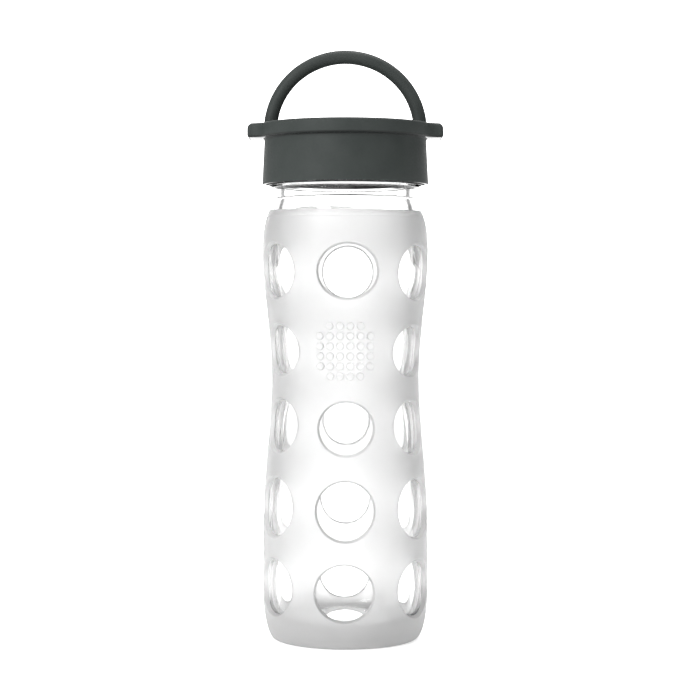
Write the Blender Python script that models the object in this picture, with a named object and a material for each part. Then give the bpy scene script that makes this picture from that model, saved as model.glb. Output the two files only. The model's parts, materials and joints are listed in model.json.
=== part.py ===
"""Glass water bottle with a silicone sleeve and a screw cap that has a folding carry loop.

Frame: +Z up, origin on the bottle's axis at the plane it stands on. The bottle's front faces -Y.
Six pieces: glass_bottle, silicone_sleeve, seal_ring, thread_insert, cap_shell and carry_loop.
"""
import math

import bmesh
import bpy
from mathutils import Matrix, Vector

MM = 0.001

# Roughly how finely round shapes are divided
LATHE_STEPS = 36
WINDOW_STEPS = 20
LOOP_STEPS = 20
LOOP_SIDES = 12

# Outer form of the sleeved body: height and radius of its belly, waist and shoulder
BELLY_RADIUS = 37.4 * MM
BELLY_LOW_Z = 22 * MM
BELLY_HIGH_Z = 50 * MM
WAIST_RADIUS = 33.4 * MM
WAIST_Z = 119 * MM
SHOULDER_RADIUS = 37.5 * MM
SHOULDER_Z = 176.5 * MM
HEEL_INSET = 5.4 * MM        # how far the heel's quarter ellipse pulls in at the floor
SHOULDER_INSET = 6.8 * MM      # semi-axes of the shoulder's ellipse
SHOULDER_RISE = 22 * MM

# Silicone sleeve
SLEEVE_TOP_Z = 194.4 * MM
SLEEVE_WALL = 2 * MM
SLEEVE_TOP_WALL = 1.1 * MM   # the sleeve thins towards its top edge
THINNING_Z = 184 * MM
SLEEVE_HOLE_RADIUS = 25 * MM
SLEEVE_LIP = 0.5 * MM
WINDOW_COLUMNS = 6
WINDOW_CENTERS = [25.3 * MM, 61.2 * MM, 97.3 * MM, 131.4 * MM, 166.5 * MM]
WINDOW_WIDTHS = [26.7 * MM, 26.4 * MM, 25 * MM, 25.2 * MM, 27.2 * MM]
WINDOW_HEIGHTS = [25.9 * MM, 27.2 * MM, 24.5 * MM, 23.2 * MM, 25.2 * MM]
WINDOW_LEAN = 0.012          # the hand-fitted sleeve's pattern leans a little towards +X
LEAN_CENTER_Z = 60 * MM
FRONT_ANGLE = math.radians(-90)
PLAIN_ROW = 3                # this row has no window at the front

# Glass
FIT_GAP = 0.3 * MM
GLASS_WALL = 4.4 * MM
NECK_RADIUS = 31.3 * MM
NECK_Z = 199.2 * MM
FLARE_RADIUS = 32.6 * MM     # the neck widens to this just above the sleeve
FLARE_Z = 195.9 * MM
MOUTH_RADIUS = 27.8 * MM
BEAD_LOW_RADIUS = 31.8 * MM
BEAD_HIGH_RADIUS = 32 * MM
RING_RADIUS = 33.5 * MM
RING_Z = 204.4 * MM
RING_HEIGHT = 2 * MM
FINISH_RADIUS = 31.6 * MM    # wall that carries the thread
GLASS_TOP_Z = 221.6 * MM
RIM_ROUND = 1.4 * MM
FLOOR_Z = 8.4 * MM           # lowest place of the inside
FLOOR_CREST = 3.4 * MM
PUSH_UP = 4.5 * MM
STAND_INNER_RADIUS = 25.6 * MM
FLOOR_RADIUS = 25 * MM

# Thread: one right-hand start
PITCH = 5 * MM
BOTTLE_THREAD_TURNS = 1.75
INSERT_THREAD_TURNS = 1.5
THREAD_FADE = 30             # degrees over which each end runs out
BOTTLE_THREAD_Z = 209.4 * MM
BOTTLE_THREAD_CREST = 32.95 * MM
INSERT_THREAD_CREST = 32.0 * MM
THREAD_ROOT_WIDTH = 2.3 * MM
THREAD_CREST_WIDTH = 1.1 * MM
THREAD_BITE = 0.5 * MM       # how deep a ridge sits in its wall

# Seal and threaded insert
SEAL_HEIGHT = 1.6 * MM
SEAL_INNER_RADIUS = 27.9 * MM
SEAL_OUTER_RADIUS = 33.0 * MM
SEAL_ROUND = 0.35 * MM
INSERT_INNER_RADIUS = 33.35 * MM
INSERT_OUTER_RADIUS = 34.9 * MM
INSERT_LIP_INNER = 34.1 * MM # the insert's lower lip passes around the glass ring
INSERT_LIP_OUTER = 35.3 * MM
INSERT_LIP_Z = 207.4 * MM
INSERT_BOTTOM_Z = 205.1 * MM
INSERT_PLATE = 1.2 * MM

# Cap shell
CAP_TOP_Z = 233 * MM
CAP_BOTTOM_Z = 205.8 * MM
SKIRT_TOP_RADIUS = 36.6 * MM
SKIRT_BOTTOM_RADIUS = 37.6 * MM
SKIRT_WALL = 1.9 * MM
FLANGE_RADIUS = 39.3 * MM
FLANGE_BOTTOM_Z = 226.5 * MM
FLANGE_ROUND = 1.3 * MM
EAR_HALF_SPAN = 44 * MM
EAR_DEPTH = 20 * MM
EAR_ROOT_RADIUS = 37.5 * MM
EAR_BLEND = 6 * MM           # radius that runs from the flange into each ear
EAR_CORNER = 1.6 * MM
EAR_STEP = 0.15 * MM         # ears sit this far inside the flange's top and bottom
EAR_TOP_ROUND = 2.6 * MM

# Carry loop, shown standing up
LOOP_RADIUS = 33.4 * MM
LOOP_THICKNESS = 6 * MM
PIVOT_Z = 230.1 * MM
PIN_RADIUS = 1.4 * MM
PIN_END_X = 41.5 * MM
BORE_RADIUS = 1.7 * MM
BORE_END_X = 42.0 * MM

GROOVE_INNER_RADIUS = LOOP_RADIUS - LOOP_THICKNESS / 2 - 0.5 * MM
GROOVE_OUTER_RADIUS = LOOP_RADIUS + LOOP_THICKNESS / 2 + 2 * FIT_GAP
GROOVE_FLOOR_Z = PIVOT_Z - LOOP_THICKNESS / 2 - FIT_GAP
GROOVE_CORNER = 2.2 * MM
HUB_WALL = 2 * MM


# ---------------------------------------------------------------- helpers

def clear_scene():
    for obj in list(bpy.data.objects):
        bpy.data.objects.remove(obj, do_unlink=True)


def make_material(name, color, roughness, alpha=1.0, transmission=0.0):
    material = bpy.data.materials.new(name)
    material.use_nodes = True
    shader = material.node_tree.nodes["Principled BSDF"]
    shader.inputs["Base Color"].default_value = (*color, 1.0)
    shader.inputs["Roughness"].default_value = roughness
    shader.inputs["Metallic"].default_value = 0.0
    shader.inputs["Alpha"].default_value = alpha
    shader.inputs["Transmission Weight"].default_value = transmission
    return material


def add_object(name, bm, material=None):
    """Make an object from a bmesh, facing out and shaded smooth."""
    bmesh.ops.recalc_face_normals(bm, faces=bm.faces)
    mesh = bpy.data.meshes.new(name)
    bm.to_mesh(mesh)
    bm.free()
    mesh.shade_smooth()
    mesh.set_sharp_from_angle(angle=math.radians(35))
    obj = bpy.data.objects.new(name, mesh)
    bpy.context.collection.objects.link(obj)
    if material:
        mesh.materials.append(material)
    return obj


def combine(obj, helper, operation):
    """Add a Boolean modifier whose second body is a hidden helper."""
    helper.hide_render = True
    helper.display_type = "WIRE"
    modifier = obj.modifiers.new(helper.name, "BOOLEAN")
    modifier.operation = operation
    modifier.solver = "EXACT"
    modifier.object = helper


def arc(center, radii, start, end, steps):
    """Points (r, z) along an elliptical arc, angles in degrees from +r towards +z."""
    points = []
    for i in range(steps + 1):
        angle = math.radians(start + (end - start) * i / steps)
        r = center[0] + radii[0] * math.cos(angle)
        z = center[1] + radii[1] * math.sin(angle)
        points.append((r, z))
    return points


def ease(start, end, steps):
    """Points (r, z) on a cosine curve that leaves and arrives upright, without its start."""
    points = []
    for i in range(1, steps + 1):
        part = i / steps
        blend = (1 - math.cos(math.pi * part)) / 2
        points.append((start[0] + (end[0] - start[0]) * blend, start[1] + (end[1] - start[1]) * part))
    return points


def offset(points, depth):
    """Move each point of a curve that runs upward inwards by depth(z)."""
    moved = []
    last = len(points) - 1
    for i, (r, z) in enumerate(points):
        before = Vector(points[max(i - 1, 0)])
        after = Vector(points[min(i + 1, last)])
        along = (after - before).normalized()
        distance = depth(z)
        moved.append((r - along.y * distance, z + along.x * distance))
    return moved


def lathe(profile, closed):
    """Turn a profile of (r, z) points about the Z axis."""
    bm = bmesh.new()
    verts = [bm.verts.new((r, 0, z)) for r, z in profile]
    edges = [bm.edges.new(pair) for pair in zip(verts, verts[1:])]
    if closed:
        edges.append(bm.edges.new((verts[-1], verts[0])))
    bmesh.ops.spin(bm, geom=verts + edges, cent=(0, 0, 0), axis=(0, 0, 1), angle=math.tau,
                   steps=LATHE_STEPS, use_merge=True)
    bmesh.ops.remove_doubles(bm, verts=bm.verts, dist=1e-6)
    return bm


def add_cylinder(bm, radius, start, end, sides):
    """Add a capped cylinder between two points."""
    start, end = Vector(start), Vector(end)
    direction = end - start
    turn = direction.to_track_quat("Z", "Y").to_matrix().to_4x4()
    place = Matrix.Translation((start + end) / 2) @ turn
    bmesh.ops.create_cone(bm, cap_ends=True, segments=sides, radius1=radius, radius2=radius,
                          depth=direction.length, matrix=place)


def copy_into(bm, part):
    """Add one bmesh's surface to another and free it."""
    mesh = bpy.data.meshes.new("part")
    part.to_mesh(mesh)
    part.free()
    bm.from_mesh(mesh)
    bpy.data.meshes.remove(mesh)


def bridge_rings(bm, rings):
    """Join rings of vertices with faces and close both ends."""
    for ring, following in zip(rings, rings[1:]):
        count = len(ring)
        for i in range(count):
            j = (i + 1) % count
            bm.faces.new((ring[i], ring[j], following[j], following[i]))
    bm.faces.new(rings[0])
    bm.faces.new(rings[-1])


# ---------------------------------------------------------------- body curve

def body_curve():
    """Outer curve of the sleeved body from the floor up to the sleeve's top edge."""
    heel_center = (BELLY_RADIUS - HEEL_INSET, BELLY_LOW_Z)
    heel = arc(heel_center, (HEEL_INSET, BELLY_LOW_Z), -90, 0, 5)
    belly = (BELLY_RADIUS, BELLY_HIGH_Z)
    waist = (WAIST_RADIUS, WAIST_Z)
    shoulder = (SHOULDER_RADIUS, SHOULDER_Z)
    shoulder_center = (SHOULDER_RADIUS - SHOULDER_INSET, SHOULDER_Z)
    top_angle = math.degrees(math.asin((SLEEVE_TOP_Z - SHOULDER_Z) / SHOULDER_RISE))
    top = arc(shoulder_center, (SHOULDER_INSET, SHOULDER_RISE), 0, top_angle, 4)
    return heel + [belly] + ease(belly, waist, 5) + ease(waist, shoulder, 4) + top[1:]


# ---------------------------------------------------------------- sleeve

def sleeve_depth(z):
    """Thickness of the sleeve at a height."""
    part = max(0, (z - THINNING_Z) / (SLEEVE_TOP_Z - THINNING_Z))
    return SLEEVE_WALL + (SLEEVE_TOP_WALL - SLEEVE_WALL) * part


def window_place(column, z):
    """Direction and height of one window's middle, with the pattern's lean."""
    angle = FRONT_ANGLE + column * math.tau / WINDOW_COLUMNS
    x = BELLY_RADIUS * math.cos(angle)
    y = BELLY_RADIUS * math.sin(angle)
    leaned = x + (z - LEAN_CENTER_Z) * WINDOW_LEAN
    return Vector((leaned, y, 0)).normalized(), z - x * WINDOW_LEAN


def window_cutters():
    """One stub for each round window, pointing out from the axis."""
    bm = bmesh.new()
    near = WAIST_RADIUS - 2 * SLEEVE_WALL - 2 * MM
    far = SHOULDER_RADIUS + 4 * MM
    for row, center_z in enumerate(WINDOW_CENTERS):
        for column in range(WINDOW_COLUMNS):
            if row == PLAIN_ROW and column == 0:
                continue
            out, z = window_place(column, center_z)
            base = Vector((0, 0, z))
            stub = bmesh.new()
            add_cylinder(stub, WINDOW_WIDTHS[row] / 2, base + out * near, base + out * far, WINDOW_STEPS)
            squash = WINDOW_HEIGHTS[row] / WINDOW_WIDTHS[row]
            for vert in stub.verts:
                vert.co.z = z + (vert.co.z - z) * squash
            copy_into(bm, stub)
    return add_object("window_cutters", bm)


def make_sleeve(material):
    outer = body_curve()
    top_r, top_z = outer[-1]
    inner = offset(outer, sleeve_depth)
    lip = [(top_r - SLEEVE_LIP * 0.3, top_z + SLEEVE_LIP * 0.7), (top_r - SLEEVE_LIP, top_z + SLEEVE_LIP)]
    inner_lip = (inner[-1][0] + 0.05 * MM, top_z + SLEEVE_LIP * 0.6)
    inner_floor = (SLEEVE_HOLE_RADIUS, SLEEVE_WALL)
    profile = [(SLEEVE_HOLE_RADIUS, 0)] + outer[:-1] + [(top_r, top_z)] + lip + [inner_lip]
    profile += list(reversed(inner)) + [inner_floor]
    sleeve = add_object("silicone_sleeve", lathe(profile, closed=True), material)
    combine(sleeve, window_cutters(), "DIFFERENCE")
    return sleeve


# ---------------------------------------------------------------- glass

def thread_ridge(name, wall_radius, crest_radius, start_z, turns, sign):
    """A helical ridge with run-out ends; sign is +1 for an outer thread and -1 for an inner one."""
    step = 360 / LATHE_STEPS
    count = round(turns * LATHE_STEPS)
    bm = bmesh.new()
    rings = []
    for i in range(count + 1):
        degrees = i * step
        fade = min(1, degrees / THREAD_FADE, (count * step - degrees) / THREAD_FADE)
        angle = math.radians(degrees)
        z = start_z + PITCH * degrees / 360
        root = wall_radius - sign * THREAD_BITE
        crest = wall_radius + (crest_radius - wall_radius) * fade - sign * THREAD_BITE * 0.5 * (1 - fade)
        section = [
            (root, -THREAD_ROOT_WIDTH / 2),
            (crest, -THREAD_CREST_WIDTH / 2),
            (crest, THREAD_CREST_WIDTH / 2),
            (root, THREAD_ROOT_WIDTH / 2),
        ]
        ring = [bm.verts.new((r * math.cos(angle), r * math.sin(angle), z + dz)) for r, dz in section]
        rings.append(ring)
    bridge_rings(bm, rings)
    return add_object(name, bm)


def glass_outside():
    """Outer profile of the glass from the centre of its base up to the rim."""
    body = offset(body_curve(), lambda z: sleeve_depth(z) + FIT_GAP)
    stand_z = SLEEVE_WALL + FIT_GAP
    crown = arc((0, stand_z), (STAND_INNER_RADIUS, PUSH_UP), 90, 0, 4)
    neck = [(FLARE_RADIUS, FLARE_Z), ((NECK_RADIUS + FLARE_RADIUS) / 2 - 0.2 * MM, (FLARE_Z + NECK_Z) / 2)]
    neck.append((NECK_RADIUS, NECK_Z))
    bead = [
        (BEAD_LOW_RADIUS, NECK_Z + 0.4 * MM),
        (BEAD_HIGH_RADIUS, NECK_Z + 2.2 * MM),
        (BEAD_HIGH_RADIUS, RING_Z - 0.1 * MM),
    ]
    ring_edge = 0.5 * MM
    ring = [
        (RING_RADIUS - ring_edge, RING_Z),
        (RING_RADIUS, RING_Z + ring_edge),
        (RING_RADIUS, RING_Z + RING_HEIGHT - ring_edge),
        (RING_RADIUS - ring_edge, RING_Z + RING_HEIGHT),
        (FINISH_RADIUS, RING_Z + RING_HEIGHT + ring_edge),
    ]
    rim_center = (FINISH_RADIUS - RIM_ROUND, GLASS_TOP_Z - RIM_ROUND)
    rim = arc(rim_center, (RIM_ROUND, RIM_ROUND), 0, 90, 3)
    return crown[:-1] + body_foot(body, stand_z) + neck + bead + ring + rim


def body_foot(body, stand_z):
    """The body's curve with a flat standing ring under it."""
    above = [point for point in body if point[1] > stand_z + 0.2 * MM]
    return [(STAND_INNER_RADIUS, stand_z), (body[0][0], stand_z)] + above


def glass_inside():
    """Inner profile of the glass from the mouth down to the centre of its floor."""
    wall = offset(body_curve(), lambda z: sleeve_depth(z) + FIT_GAP + GLASS_WALL)
    wall = [point for point in wall if point[1] > FLOOR_Z + 8 * MM]
    mouth = arc((MOUTH_RADIUS + RIM_ROUND, GLASS_TOP_Z - RIM_ROUND), (RIM_ROUND, RIM_ROUND), 90, 180, 3)
    neck = [(MOUTH_RADIUS, NECK_Z), (MOUTH_RADIUS + 0.5 * MM, FLARE_Z)]
    heel_radius = wall[0][0] - FLOOR_RADIUS
    heel = arc((FLOOR_RADIUS, FLOOR_Z + heel_radius), (heel_radius, heel_radius), 0, -90, 4)
    crest = arc((0, FLOOR_Z), (FLOOR_RADIUS, FLOOR_CREST), 0, 90, 4)
    return mouth + neck + list(reversed(wall)) + heel + crest[1:]


def make_glass(material):
    profile = glass_outside() + glass_inside()
    glass = add_object("glass_bottle", lathe(profile, closed=False), material)
    ridge = thread_ridge("bottle_thread", FINISH_RADIUS, BOTTLE_THREAD_CREST, BOTTLE_THREAD_Z,
                         BOTTLE_THREAD_TURNS, 1)
    combine(glass, ridge, "UNION")
    return glass


# ---------------------------------------------------------------- seal and insert

def make_seal(material):
    bottom = GLASS_TOP_Z + FIT_GAP
    top = bottom + SEAL_HEIGHT
    profile = [
        (SEAL_OUTER_RADIUS, bottom + SEAL_ROUND),
        (SEAL_OUTER_RADIUS, top - SEAL_ROUND),
        (SEAL_OUTER_RADIUS - SEAL_ROUND, top),
        (SEAL_INNER_RADIUS, top),
        (SEAL_INNER_RADIUS, bottom),
        (SEAL_OUTER_RADIUS - SEAL_ROUND, bottom),
    ]
    return add_object("seal_ring", lathe(profile, closed=True), material)


def make_insert(material):
    ceiling = GLASS_TOP_Z + SEAL_HEIGHT + 2 * FIT_GAP
    lead_in = 0.6 * MM
    profile = [
        (0, ceiling),
        (INSERT_INNER_RADIUS, ceiling),
        (INSERT_INNER_RADIUS, INSERT_LIP_Z + lead_in),
        (INSERT_LIP_INNER, INSERT_LIP_Z - lead_in),
        (INSERT_LIP_INNER, INSERT_BOTTOM_Z),
        (INSERT_LIP_OUTER, INSERT_BOTTOM_Z),
        (INSERT_LIP_OUTER, INSERT_LIP_Z),
        (INSERT_OUTER_RADIUS, INSERT_LIP_Z + 2 * lead_in),
        (INSERT_OUTER_RADIUS, ceiling + INSERT_PLATE),
        (0, ceiling + INSERT_PLATE),
    ]
    insert = add_object("thread_insert", lathe(profile, closed=False), material)
    ridge = thread_ridge("insert_thread", INSERT_INNER_RADIUS, INSERT_THREAD_CREST,
                         BOTTLE_THREAD_Z + PITCH / 2, INSERT_THREAD_TURNS, -1)
    combine(insert, ridge, "UNION")
    return insert


# ---------------------------------------------------------------- cap shell

def shell_profile():
    """Section of the shell: hub, groove for the folded loop, flange and skirt."""
    ceiling = GLASS_TOP_Z + SEAL_HEIGHT + 3 * FIT_GAP + INSERT_PLATE
    hub_round = 1 * MM
    edge = 0.3 * MM
    fillet = 0.6 * MM
    hub_edge = arc((GROOVE_INNER_RADIUS - hub_round, CAP_TOP_Z - hub_round), (hub_round, hub_round), 90, 0, 2)
    inner_corner = arc((GROOVE_INNER_RADIUS + GROOVE_CORNER, GROOVE_FLOOR_Z + GROOVE_CORNER),
                       (GROOVE_CORNER, GROOVE_CORNER), 180, 270, 3)
    outer_corner = arc((GROOVE_OUTER_RADIUS - GROOVE_CORNER, GROOVE_FLOOR_Z + GROOVE_CORNER),
                       (GROOVE_CORNER, GROOVE_CORNER), 270, 360, 3)
    brim = [(GROOVE_OUTER_RADIUS, CAP_TOP_Z - edge), (GROOVE_OUTER_RADIUS + edge, CAP_TOP_Z)]
    flange = arc((FLANGE_RADIUS - FLANGE_ROUND, CAP_TOP_Z - FLANGE_ROUND), (FLANGE_ROUND, FLANGE_ROUND), 90, 0, 3)
    under = [
        (FLANGE_RADIUS, FLANGE_BOTTOM_Z + edge),
        (FLANGE_RADIUS - edge, FLANGE_BOTTOM_Z),
        (SKIRT_TOP_RADIUS + fillet, FLANGE_BOTTOM_Z),
        (SKIRT_TOP_RADIUS, FLANGE_BOTTOM_Z - fillet),
    ]
    skirt = [
        (SKIRT_BOTTOM_RADIUS, CAP_BOTTOM_Z + edge),
        (SKIRT_BOTTOM_RADIUS - edge, CAP_BOTTOM_Z),
        (SKIRT_BOTTOM_RADIUS - SKIRT_WALL, CAP_BOTTOM_Z),
        (INSERT_OUTER_RADIUS + FIT_GAP, ceiling - 4 * MM),
        (INSERT_OUTER_RADIUS + FIT_GAP, ceiling),
    ]
    hollow = [
        (GROOVE_INNER_RADIUS - HUB_WALL, ceiling),
        (GROOVE_INNER_RADIUS - HUB_WALL, CAP_TOP_Z - HUB_WALL),
        (0, CAP_TOP_Z - HUB_WALL),
    ]
    return [(0, CAP_TOP_Z)] + hub_edge + inner_corner + outer_corner + brim + flange + under + skirt + hollow


def ear_outline():
    """Points (x, y) around one ear, with blends that start tangent to the flange."""
    half = EAR_DEPTH / 2
    blend_y = half + EAR_BLEND
    blend_x = math.sqrt((FLANGE_RADIUS + EAR_BLEND) ** 2 - blend_y ** 2)
    meet = math.degrees(math.atan2(blend_y, blend_x))
    tip = EAR_HALF_SPAN - EAR_CORNER
    root = arc((0, 0), (EAR_ROOT_RADIUS, EAR_ROOT_RADIUS), meet, 0, 3)[:-1]
    corner = arc((tip, half - EAR_CORNER), (EAR_CORNER, EAR_CORNER), 0, 90, 3)
    blend = arc((blend_x, blend_y), (EAR_BLEND, EAR_BLEND), 270, 180 + meet, 4)
    upper = corner + blend + root
    lower = [(x, -y) for x, y in reversed(upper)]
    return upper + [(EAR_ROOT_RADIUS, 0)] + lower


def ear_inset(x, y, share):
    """Move an outline point of the ear inwards for the rounding of its top edge."""
    if math.hypot(x, y) < EAR_ROOT_RADIUS + 0.1 * MM:
        return x, y
    reach = max(0, min(1, (x - FLANGE_RADIUS) / (EAR_HALF_SPAN - FLANGE_RADIUS)))
    size = FLANGE_ROUND + (EAR_TOP_ROUND - FLANGE_ROUND) * reach
    tip_share = max(0, (x - EAR_HALF_SPAN + 2 * EAR_CORNER) / (2 * EAR_CORNER))
    return x - size * share * max(tip_share, 0.3), y * (1 - size * share * 0.6 / EAR_DEPTH)


def ear_blanks():
    """Two rounded blocks that carry the loop's pivots, one on each side of the flange."""
    bm = bmesh.new()
    bottom = FLANGE_BOTTOM_Z + EAR_STEP
    top = CAP_TOP_Z - EAR_STEP
    levels = [(bottom, 0), (top - EAR_TOP_ROUND, 0)]
    for degrees in (30, 60, 90):
        bend = math.radians(degrees)
        levels.append((top - EAR_TOP_ROUND * (1 - math.sin(bend)), 1 - math.cos(bend)))
    for side in (1, -1):
        rings = []
        for z, share in levels:
            points = [ear_inset(x, y, share) for x, y in ear_outline()]
            rings.append([bm.verts.new((side * x, y, z)) for x, y in points])
        bridge_rings(bm, rings)
    return add_object("ear_blanks", bm)


def pivot_bores():
    """Blind holes in the ears, open to the groove."""
    bm = bmesh.new()
    start_x = GROOVE_OUTER_RADIUS - 1 * MM
    for side in (-1, 1):
        add_cylinder(bm, BORE_RADIUS, (side * start_x, 0, PIVOT_Z), (side * BORE_END_X, 0, PIVOT_Z), 16)
    return add_object("pivot_bores", bm)


def make_shell(material):
    shell = add_object("cap_shell", lathe(shell_profile(), closed=False), material)
    combine(shell, ear_blanks(), "UNION")
    combine(shell, pivot_bores(), "DIFFERENCE")
    return shell


# ---------------------------------------------------------------- carry loop

def loop_stations():
    """Centre, outward direction and radius of each ring along the loop, end to end."""
    radius = LOOP_THICKNESS / 2
    dome = [(math.radians(a), math.cos(math.radians(a))) for a in (75, 50, 25)]
    stations = []
    for angle, share in dome:
        stations.append((Vector((LOOP_RADIUS, 0, -radius * math.sin(angle))), 0.0, radius * share))
    for i in range(LOOP_STEPS + 1):
        angle = math.pi * i / LOOP_STEPS
        center = Vector((LOOP_RADIUS * math.cos(angle), 0, LOOP_RADIUS * math.sin(angle)))
        stations.append((center, angle, radius))
    for angle, share in reversed(dome):
        stations.append((Vector((-LOOP_RADIUS, 0, -radius * math.sin(angle))), math.pi, radius * share))
    return stations


def pivot_pins():
    """Pins that stick out of the loop's ends."""
    bm = bmesh.new()
    for side in (-1, 1):
        add_cylinder(bm, PIN_RADIUS, (side * LOOP_RADIUS, 0, 0), (side * PIN_END_X, 0, 0), 12)
    return add_object("pivot_pins", bm)


def make_loop(material):
    bm = bmesh.new()
    rings = []
    for center, angle, radius in loop_stations():
        out = Vector((math.cos(angle), 0, math.sin(angle)))
        ring = []
        for i in range(LOOP_SIDES):
            turn = math.tau * (i + 0.5) / LOOP_SIDES
            point = center + out * (radius * math.cos(turn)) + Vector((0, radius * math.sin(turn), 0))
            ring.append(bm.verts.new(point))
        rings.append(ring)
    bridge_rings(bm, rings)
    loop = add_object("carry_loop", bm, material)
    pins = pivot_pins()
    combine(loop, pins, "UNION")
    pivot = bpy.data.objects.new("loop_pivot", None)
    bpy.context.collection.objects.link(pivot)
    pivot.location = (0, 0, PIVOT_Z)
    loop.parent = pivot
    pins.parent = pivot
    return loop


# ---------------------------------------------------------------- assembly

def main():
    clear_scene()
    glass = make_material("clear_glass", (0.93, 0.95, 0.95), 0.02, alpha=0.35, transmission=1.0)
    silicone = make_material("frosted_silicone", (0.88, 0.88, 0.88), 0.6, alpha=0.8, transmission=0.5)
    seal = make_material("seal_silicone", (0.85, 0.85, 0.84), 0.5)
    insert = make_material("insert_plastic", (0.02, 0.024, 0.023), 0.45)
    shell = make_material("cap_plastic", (0.036, 0.042, 0.04), 0.42)
    loop = make_material("loop_plastic", (0.04, 0.046, 0.044), 0.42)
    make_glass(glass)
    make_sleeve(silicone)
    make_seal(seal)
    make_insert(insert)
    make_shell(shell)
    make_loop(loop)


main()
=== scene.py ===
import json
import math

import bmesh
import bpy
from mathutils import Euler, Matrix, Vector, noise


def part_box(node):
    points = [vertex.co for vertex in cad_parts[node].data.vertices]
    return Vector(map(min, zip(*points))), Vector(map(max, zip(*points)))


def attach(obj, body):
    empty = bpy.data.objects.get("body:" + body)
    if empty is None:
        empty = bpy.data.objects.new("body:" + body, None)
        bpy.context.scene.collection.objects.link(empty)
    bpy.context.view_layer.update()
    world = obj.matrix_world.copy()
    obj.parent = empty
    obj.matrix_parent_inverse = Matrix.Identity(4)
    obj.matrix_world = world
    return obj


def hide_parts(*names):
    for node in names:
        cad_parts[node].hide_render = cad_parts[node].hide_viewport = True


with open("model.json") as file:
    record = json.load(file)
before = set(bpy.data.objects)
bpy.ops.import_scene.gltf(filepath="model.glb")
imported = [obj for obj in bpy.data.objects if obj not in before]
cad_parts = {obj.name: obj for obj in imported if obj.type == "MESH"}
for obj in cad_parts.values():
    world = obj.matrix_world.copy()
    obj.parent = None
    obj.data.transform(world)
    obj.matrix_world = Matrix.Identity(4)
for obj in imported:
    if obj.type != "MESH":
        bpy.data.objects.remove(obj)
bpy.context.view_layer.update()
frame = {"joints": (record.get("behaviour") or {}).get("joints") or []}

MM = 0.001
SHARP_ANGLE = 40             # degrees between faces from which an edge is sharp
ON_AXIS = 1e-9               # a profile point nearer to the axis than this is one vertex
MERGE_DISTANCE = 2e-6

glass_low, glass_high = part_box("glass_bottle")
sleeve_low, sleeve_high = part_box("silicone_sleeve")
seal_low, seal_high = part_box("seal_ring")
insert_low, insert_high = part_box("thread_insert")
shell_low, shell_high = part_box("cap_shell")
loop_low, loop_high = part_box("carry_loop")
pivot_z = next(j["pos_m"][2] for j in frame["joints"] if j["name"] == "loop_pivot")

# Outer curve of the sleeved body
BELLY_RADIUS = 37.4 * MM
BELLY_LOW_Z = 22 * MM
BELLY_HIGH_Z = 50 * MM
WAIST_RADIUS = 33.4 * MM
WAIST_Z = 119 * MM
SHOULDER_RADIUS = sleeve_high.x
SHOULDER_Z = 176.5 * MM
HEEL_INSET = 5.4 * MM
SHOULDER_INSET = 6.8 * MM
SHOULDER_RISE = 22 * MM

# Sleeve
SLEEVE_LIP = 0.5 * MM
SLEEVE_TOP_Z = sleeve_high.z - SLEEVE_LIP
SLEEVE_WALL = 2 * MM
SLEEVE_TOP_WALL = 1.1 * MM
THINNING_Z = 184 * MM
SLEEVE_HOLE_RADIUS = 25 * MM
TOP_DIP = 0.5 * MM           # the hand-fitted top edge dips at the front and to the right
TOP_LEAN = 0.25 * MM
LINE_DEPTH = 0.12 * MM       # two faint moulded lines run under the top edge
COLUMNS = 6
FRONT_ANGLE = math.radians(-90)
WINDOW_CENTERS = [25.3 * MM, 61.2 * MM, 97.3 * MM, 131.4 * MM, 166.5 * MM]
WINDOW_WIDTHS = [26.7 * MM, 26.4 * MM, 25 * MM, 25.2 * MM, 27.2 * MM]
WINDOW_HEIGHTS = [25.9 * MM, 27.2 * MM, 24.5 * MM, 23.2 * MM, 25.2 * MM]
WINDOW_LEAN = 0.012
LEAN_CENTER_Z = 60 * MM
WINDOW_EDGE = 0.35 * MM
WINDOW_DRAFT = 0.8 * MM      # how much a window narrows through the sleeve's thickness
CELL_PITCH = 35.25 * MM      # height of the sleeve's cells, one window in each
CELL_FIRST_Z = 25.65 * MM
CELL_SIDE = 32               # steps along each side of one cell
DOT_ROW = 3                  # at the front, this row has raised dots in place of a window
DOTS_ACROSS = 8
DOT_RADIUS = 1.7 * MM
DOT_HEIGHT = 0.75 * MM
DOT_FIELD_RADIUS = 15 * MM
# Rings of a dot: share of its radius, share of its height, and 1 on the patch's border
DOT_RINGS = [(1, 0, 1), (1.18, 0, 0), (1.05, -0.2, 0), (0.97, 0.1, 0),
             (0.9, 0.8, 0), (0.78, 1, 0), (0.4, 1, 0)]

# Glass
FIT_GAP = 0.3 * MM
GLASS_WALL = 4.4 * MM
GLASS_STEPS = 168
NECK_RADIUS = 31.65 * MM
NECK_Z = 199.2 * MM
FLARE_RADIUS = 32.6 * MM
FLARE_Z = 195.9 * MM
INNER_FLARE = 0.5 * MM
MOUTH_RADIUS = 27.8 * MM
BEAD_RADIUS = 31.9 * MM
BEAD_ROUND = 0.3 * MM
RING_RADIUS = 33.5 * MM      # the ring is flat below, then sloped, then straight
RING_TOP_RADIUS = 32.9 * MM
RING_SLOPE_Z = 205.3 * MM
RING_LOW_Z = 204.2 * MM
RING_HIGH_Z = 206.4 * MM
RING_FILLET = 0.5 * MM
RING_ROUND = 0.2 * MM
FINISH_RADIUS = 31.6 * MM
RIM_ROUND = 1.4 * MM
FLOOR_Z = 8.4 * MM
FLOOR_CREST = 3.4 * MM
FLOOR_RADIUS = 25 * MM
PUSH_UP = 4.5 * MM
STAND_Z = glass_low.z
STAND_INNER_RADIUS = 25.6 * MM
WAVE_BROAD = 0.08 * MM       # how far the blown inside wall wanders
WAVE_FINE = 0.03 * MM

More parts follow.
